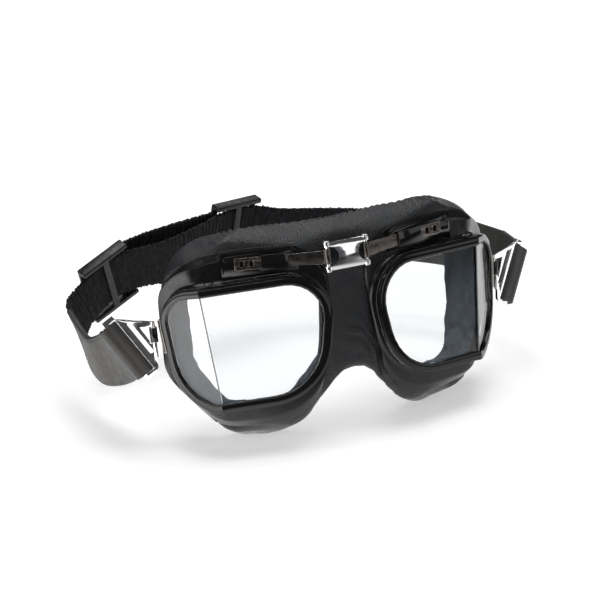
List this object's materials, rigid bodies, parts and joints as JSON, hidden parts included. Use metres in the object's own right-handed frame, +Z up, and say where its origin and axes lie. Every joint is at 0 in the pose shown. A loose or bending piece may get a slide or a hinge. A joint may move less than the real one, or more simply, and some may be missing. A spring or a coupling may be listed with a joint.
{
  "type": "goggles",
  "caption": "Split-lens riding goggles with hinged chrome bridge, metal-rimmed eyecups, leather face cushion and elastic head strap on swinging links",
  "frame": {"origin": "on the floor under the middle of the part's box", "axes": "the front faces -Y, +X is the viewer's right as seen from the front, +Z is up"},
  "size_m": [0.1988, 0.1198, 0.0872],
  "materials": {
    "chrome": "polished plating",
    "black_enamel": "gloss black enamel",
    "dark_steel": "darkened steel",
    "glass": "clear",
    "leather": "fine grained black",
    "strap_leather": "smooth black, edge stitched",
    "velvet": "dark blue-grey velvet",
    "webbing": "ribbed black elastic",
    "buckle_plastic": "semi-gloss black"
  },
  "bodies": {
    "bridge": {"bridge_plate": "chrome", "hinge_pins": "chrome", "face_cushion": "leather", "lining_left": "velvet", "lining_right": "velvet", "elastic": "webbing"},
    "arm_left": {"arm_left": "black_enamel"},
    "cup_left": {"sleeve_left": "black_enamel", "brow_plate_left": "black_enamel", "rivets_left": "black_enamel", "rim_left": "black_enamel", "seat_frame_left": "black_enamel", "lens_front_left": "glass", "lens_side_left": "glass", "eyecup_left": "black_enamel", "clamp_screw_left": "dark_steel", "bracket_left": "dark_steel"},
    "link_left": {"link_left": "chrome", "strap_tab_left": "strap_leather"},
    "arm_right": {"arm_right": "black_enamel"},
    "cup_right": {"sleeve_right": "black_enamel", "brow_plate_right": "black_enamel", "rivets_right": "black_enamel", "rim_right": "black_enamel", "seat_frame_right": "black_enamel", "lens_front_right": "glass", "lens_side_right": "glass", "eyecup_right": "black_enamel", "clamp_screw_right": "dark_steel", "bracket_right": "dark_steel"},
    "link_right": {"link_right": "chrome", "strap_tab_right": "strap_leather"},
    "slider_front": {"slider_front": "buckle_plastic"},
    "slider_back": {"slider_back": "buckle_plastic"}
  },
  "joints": [
    {"name": "bridge_hinge_left", "type": "hinge", "parent": "bridge", "child": "arm_left", "pos_m": [-0.0086, -0.04569, 0.07723], "axis": [0, 0.2487, 0.9686], "range_deg": [-6, 6], "stiffness_Nm_per_rad": 0.4, "deforming": ["face_cushion", "lining_left", "elastic", "strap_tab_left"]},
    {"name": "eye_width_left", "type": "slide", "parent": "arm_left", "child": "cup_left", "axis": [-0.979, 0.2038, 0.0071], "range_m": [-0.002, 0.003], "deforming": ["face_cushion"]},
    {"name": "strap_link_left", "type": "hinge", "parent": "cup_left", "child": "link_left", "pos_m": [-0.0782, -0.02787, 0.0485], "axis": [0, -0.2487, -0.9686], "range_deg": [-12, 30], "deforming": ["strap_tab_left", "elastic"]},
    {"name": "bridge_hinge_right", "type": "hinge", "parent": "bridge", "child": "arm_right", "pos_m": [0.0086, -0.04569, 0.07723], "axis": [0, 0.2487, 0.9686], "range_deg": [-6, 6], "stiffness_Nm_per_rad": 0.4, "deforming": ["face_cushion", "lining_right", "elastic", "strap_tab_right"]},
    {"name": "eye_width_right", "type": "slide", "parent": "arm_right", "child": "cup_right", "axis": [0.979, 0.2038, 0.0071], "range_m": [-0.002, 0.003], "deforming": ["face_cushion"]},
    {"name": "strap_link_right", "type": "hinge", "parent": "cup_right", "child": "link_right", "pos_m": [0.0782, -0.02787, 0.0485], "axis": [0, 0.2487, 0.9686], "range_deg": [-12, 30], "deforming": ["strap_tab_right", "elastic"]},
    {"name": "slider_front_run", "type": "slide", "parent": "bridge", "child": "slider_front", "axis": [0.9045, 0.2364, 0.3549], "range_m": [-0.003, 0.01], "deforming": ["elastic"]},
    {"name": "slider_back_run", "type": "slide", "parent": "bridge", "child": "slider_back", "axis": [0.9659, 0.2505, -0.0659], "range_m": [-0.01, 0.003], "deforming": ["elastic"]}
  ]
}
